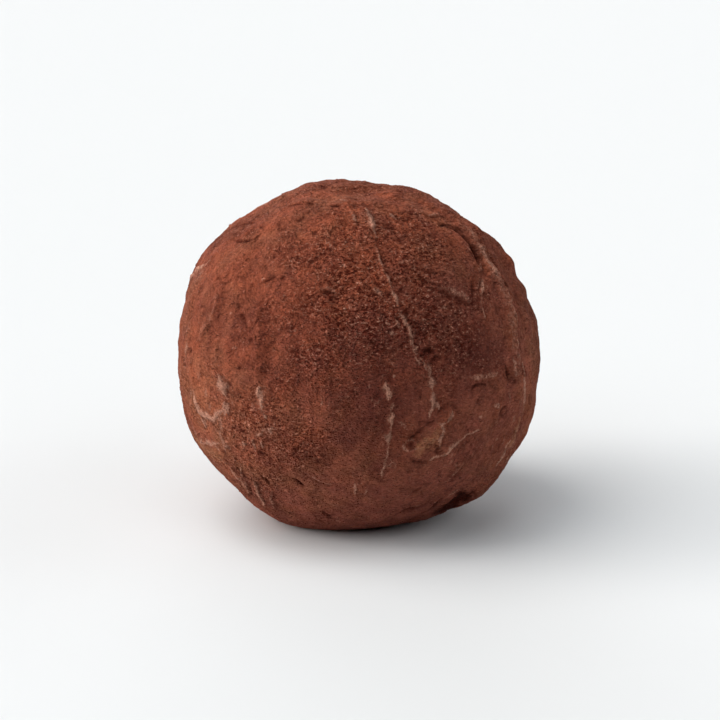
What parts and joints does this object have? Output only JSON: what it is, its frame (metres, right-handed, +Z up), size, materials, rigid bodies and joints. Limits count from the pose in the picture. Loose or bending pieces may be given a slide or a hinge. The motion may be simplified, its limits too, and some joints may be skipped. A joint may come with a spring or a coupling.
{
  "type": "chocolate truffle",
  "caption": "Hand-rolled round chocolate truffle in matt cocoa, with soft palm flats, a long side fold and a small flat foot.",
  "frame": {"origin": "middle of the bounding box at its bottom: on the flat foot, where the truffle meets the table", "axes": "+Z up; -Y towards the face with the long crease; +X towards the side with the long fold"},
  "size_m": [0.0298, 0.0302, 0.028],
  "materials": {
    "cocoa": "matte"
  },
  "bodies": {
    "root": {"truffle": "cocoa"}
  },
  "joints": []
}
